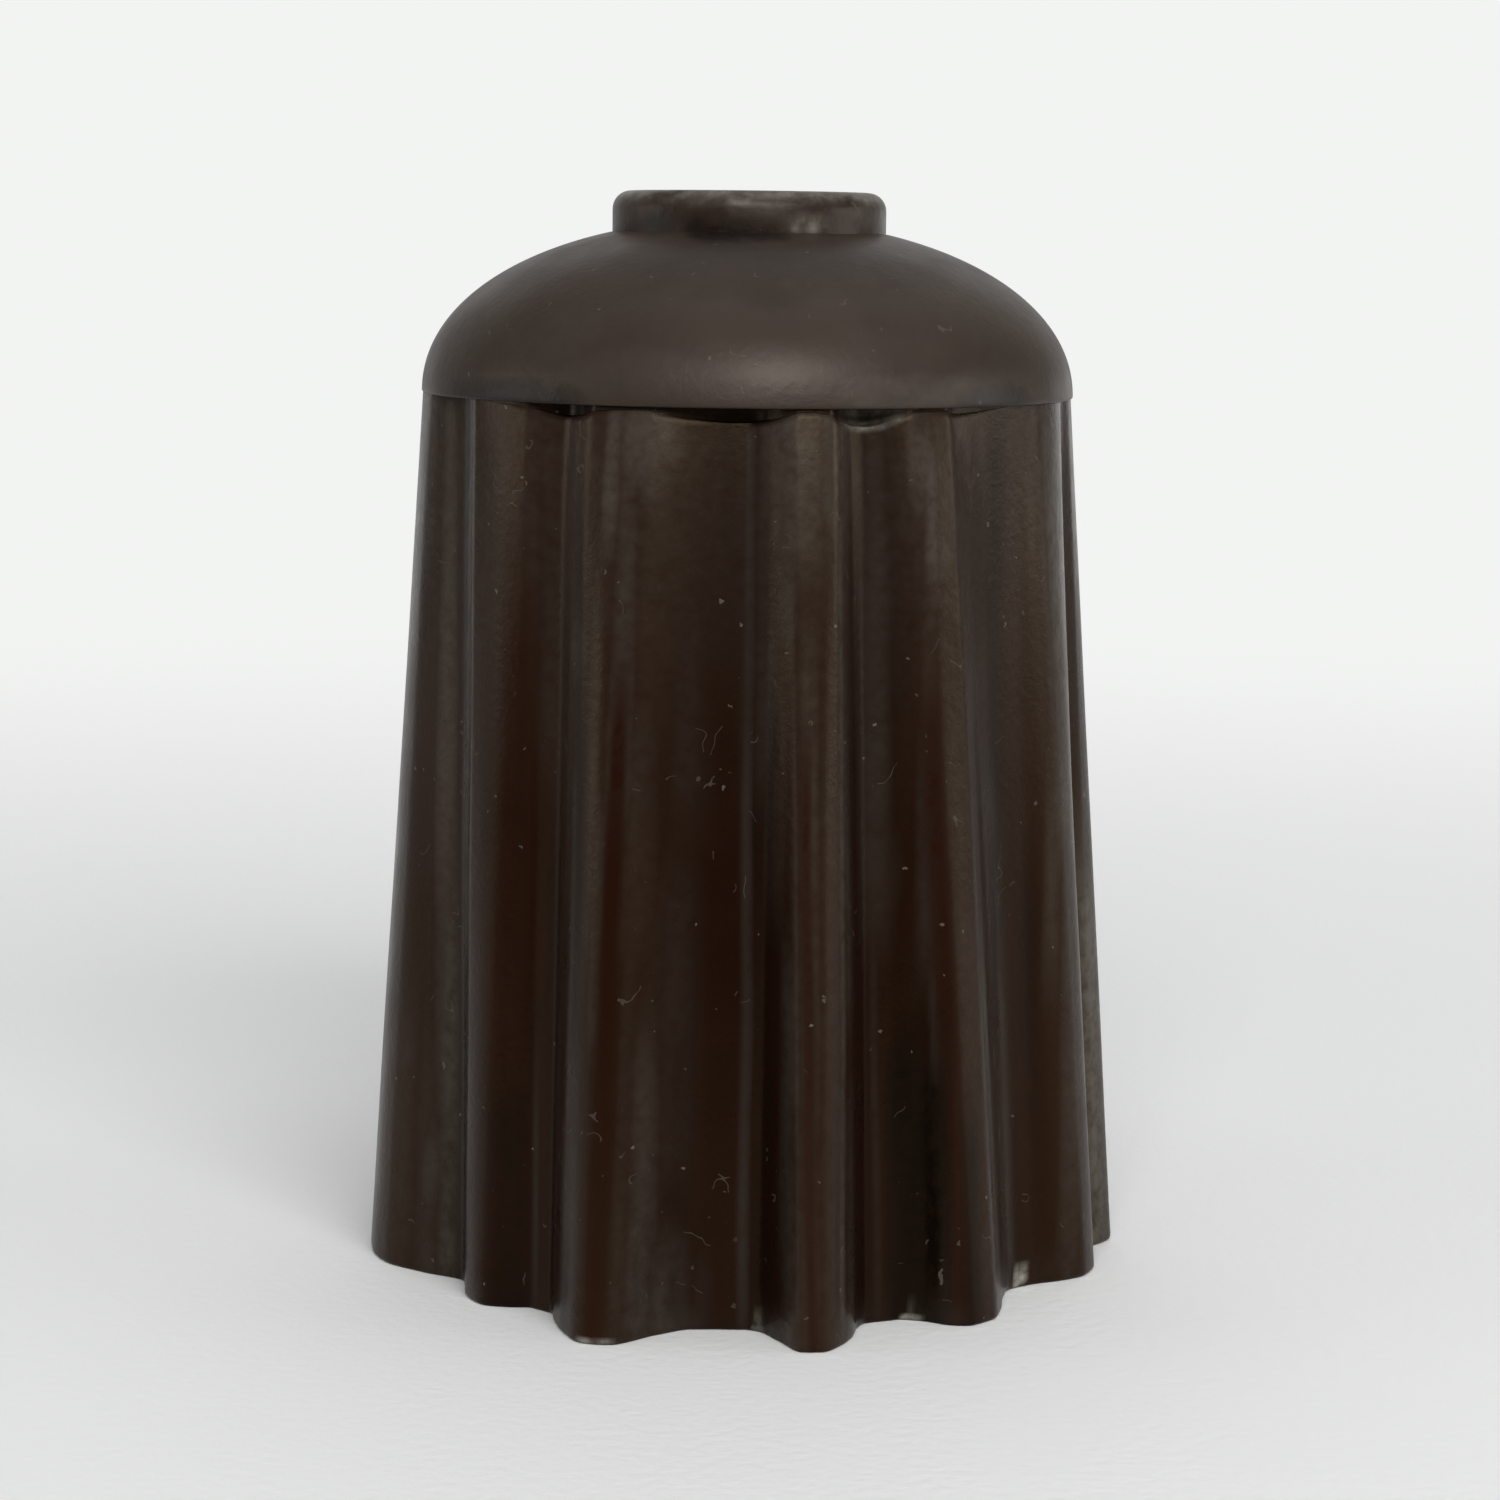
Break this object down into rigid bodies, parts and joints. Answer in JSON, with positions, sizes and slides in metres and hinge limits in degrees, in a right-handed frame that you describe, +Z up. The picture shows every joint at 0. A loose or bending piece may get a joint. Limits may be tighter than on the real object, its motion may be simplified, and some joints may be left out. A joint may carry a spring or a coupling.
{
  "type": "pleated bell-shaped cover",
  "caption": "Hollow bell-shaped cover of dark brown moulded plastic: a draped skirt, a domed shoulder cap and a short collar with a round bore, open at the hem.",
  "frame": {"origin": "on the axis of the collar, in the plane of the hem that the cover stands on", "axes": "+Z up along the axis of the collar, -Y towards the side with the two tallest folds, +X to the right as seen from there"},
  "size_m": [0.0634, 0.0645, 0.0885],
  "materials": {
    "skirt_plastic": "satin",
    "cap_plastic": "satin",
    "collar_plastic": "satin, worn"
  },
  "bodies": {
    "root": {"skirt": "skirt_plastic", "shoulder_cap": "cap_plastic", "collar_ring": "collar_plastic"}
  },
  "joints": []
}
